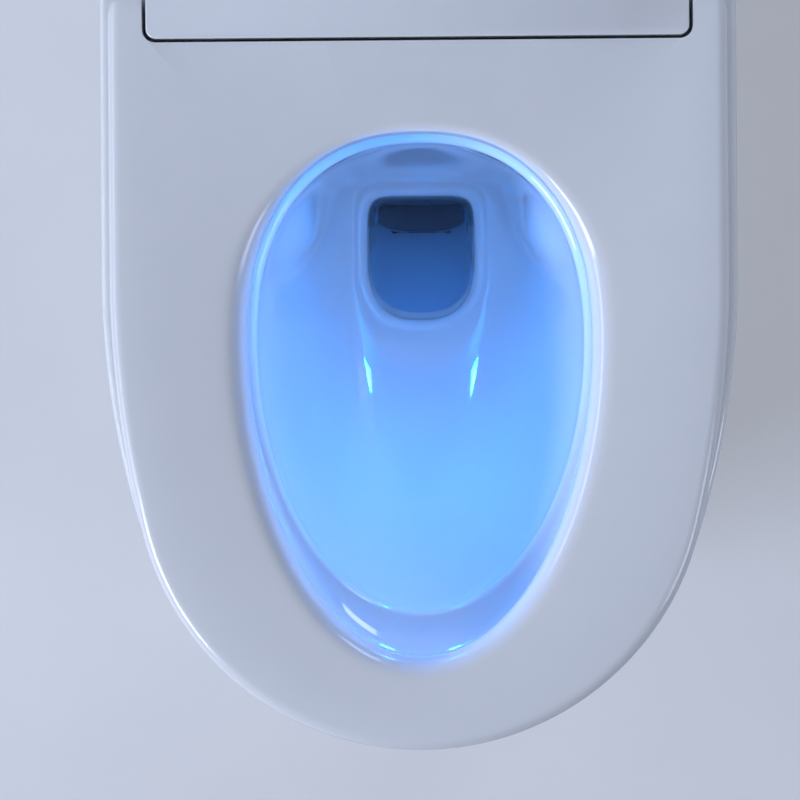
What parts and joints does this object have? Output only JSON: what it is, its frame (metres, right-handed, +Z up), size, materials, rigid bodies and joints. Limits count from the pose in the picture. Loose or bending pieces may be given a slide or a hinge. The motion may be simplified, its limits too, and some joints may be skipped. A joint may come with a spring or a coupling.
{
  "type": "smart toilet",
  "caption": "Floor-standing smart toilet with a heated seat, soft-close lid, built-in wash wands, warm-air dryer, deodorizer and blue night light.",
  "frame": {"origin": "centre of the waste outlet's mouth at floor level", "axes": "+Z up, +Y towards the wall behind the toilet, -Y towards the person in front, +X to the right seen from the front"},
  "size_m": [0.4101, 0.68, 0.8947],
  "materials": {
    "glazed_ceramic": "high-gloss white glaze",
    "seat_plastic": "white moulded urea-formaldehyde, polished",
    "lid_plastic": "white moulded plastic, polished",
    "housing_plastic": "white moulded ABS, gloss",
    "base_plastic": "light grey moulded plastic",
    "wand_plastic": "white moulded nozzle plastic",
    "guard_plastic": "pale grey moulded plastic",
    "black_plastic": "black moulded plastic",
    "display": "smoked display window",
    "light_lens": "diffusing night light lens, lit blue",
    "bumper_rubber": "pale grey soft rubber",
    "gasket_rubber": "black rubber",
    "hose_rubber": "black reinforced hose",
    "steel": "stainless steel",
    "brass": "machined brass",
    "chrome": "plated knob",
    "foil": "aluminium foil",
    "wire": "silicone-sleeved heating wire",
    "circuit_board": "solder-masked board with parts",
    "motor_metal": "plated motor can",
    "tank_plastic": "dark grey moulded tank",
    "gear_plastic": "natural acetal",
    "carbon": "carbon filter cartridge",
    "heater_steel": "steel water heater"
  },
  "bodies": {
    "root": {"ceramic_body": "glazed_ceramic", "outlet_gasket": "gasket_rubber", "floor_brackets": "steel", "side_screws": "steel", "screw_caps": "housing_plastic", "hinge_dampers": "black_plastic", "hinge_cover": "housing_plastic", "unit_base": "base_plastic", "rear_housing": "housing_plastic", "display_window": "display", "deck_bolts": "steel", "splash_guard": "guard_plastic", "night_light_lenses": "light_lens", "night_light_boards": "circuit_board", "wand_guide": "black_plastic", "wand_motors": "motor_metal", "dryer_duct": "black_plastic", "deodorizer_duct": "black_plastic", "air_heater": "foil", "dryer_case": "black_plastic", "deodorizer_case": "black_plastic", "fan_motors": "motor_metal", "deodorizer_filter": "carbon", "water_heater": "heater_steel", "flow_selector": "black_plastic", "inlet_fitting": "brass", "solenoid_valve": "black_plastic", "flush_tank": "tank_plastic", "tank_lid": "tank_plastic", "flush_pump": "black_plastic", "jet_hose": "hose_rubber", "rim_hose": "hose_rubber", "fill_hose": "hose_rubber", "power_supply": "black_plastic", "control_board": "circuit_board", "control_bracket": "steel", "knob_encoder": "black_plastic", "flush_switch": "black_plastic", "power_gland": "black_plastic"},
    "seat": {"seat_shell": "seat_plastic", "seat_arms": "seat_plastic", "seat_base": "seat_plastic", "heating_foil": "foil", "heating_wire": "wire", "seat_bumpers": "bumper_rubber", "seat_shaft": "steel"},
    "lid": {"lid_shell": "lid_plastic", "lid_arms": "lid_plastic", "lid_liner": "lid_plastic", "lid_bumpers": "bumper_rubber", "lid_shaft": "steel"},
    "rear_wand": {"rear_wand": "wand_plastic"},
    "front_wand": {"front_wand": "wand_plastic"},
    "rear_pinion": {"rear_pinion": "gear_plastic"},
    "front_pinion": {"front_pinion": "gear_plastic"},
    "knob_plunger": {"knob_plunger": "steel"},
    "side_knob": {"side_knob": "chrome"},
    "flush_button": {"flush_button": "housing_plastic"},
    "dryer_impeller": {"dryer_impeller": "gear_plastic"},
    "deodorizer_impeller": {"deodorizer_impeller": "gear_plastic"}
  },
  "joints": [
    {"name": "seat_hinge", "type": "hinge", "parent": "root", "child": "seat", "pos_m": [0, 0.1, 0.40325], "axis": [1, 0, 0], "range_deg": [-95, 0]},
    {"name": "lid_hinge", "type": "hinge", "parent": "root", "child": "lid", "pos_m": [0, 0.1, 0.40325], "axis": [1, 0, 0], "range_deg": [0, 95]},
    {"name": "rear_wand_slide", "type": "slide", "parent": "root", "child": "rear_wand", "axis": [0, -0.9781, -0.2079], "range_m": [0, 0.09]},
    {"name": "rear_pinion_spin", "type": "hinge", "parent": "root", "child": "rear_pinion", "pos_m": [-0.022, 0.12362, 0.35375], "axis": [1, 0, 0], "range_deg": [0, 645.1]},
    {"name": "front_wand_slide", "type": "slide", "parent": "root", "child": "front_wand", "axis": [0, -0.9781, -0.2079], "range_m": [0, 0.09]},
    {"name": "front_pinion_spin", "type": "hinge", "parent": "root", "child": "front_pinion", "pos_m": [0.022, 0.12362, 0.35375], "axis": [1, 0, 0], "range_deg": [0, 645.1]},
    {"name": "knob_push", "type": "slide", "parent": "root", "child": "knob_plunger", "axis": [-1, 0, 0], "range_m": [0, 0.0015], "stiffness_N_per_m": 800, "springref_m": -0.002},
    {"name": "knob_turn", "type": "hinge", "parent": "knob_plunger", "child": "side_knob", "pos_m": [0.2, 0.212, 0.428], "axis": [1, 0, 0], "continuous": true},
    {"name": "flush_button_push", "type": "slide", "parent": "root", "child": "flush_button", "axis": [-1, 0, 0], "range_m": [0, 0.0025], "stiffness_N_per_m": 600, "springref_m": -0.002},
    {"name": "dryer_impeller_spin", "type": "hinge", "parent": "root", "child": "dryer_impeller", "pos_m": [0.086, 0.214, 0.4], "axis": [0, 0, 1], "continuous": true},
    {"name": "deodorizer_impeller_spin", "type": "hinge", "parent": "root", "child": "deodorizer_impeller", "pos_m": [-0.086, 0.214, 0.4], "axis": [0, 0, 1], "continuous": true}
  ],
  "couplings": [
    {"joint": "rear_pinion_spin", "follows": "rear_wand_slide", "rad_per_m": 125},
    {"joint": "front_pinion_spin", "follows": "front_wand_slide", "rad_per_m": 125}
  ]
}
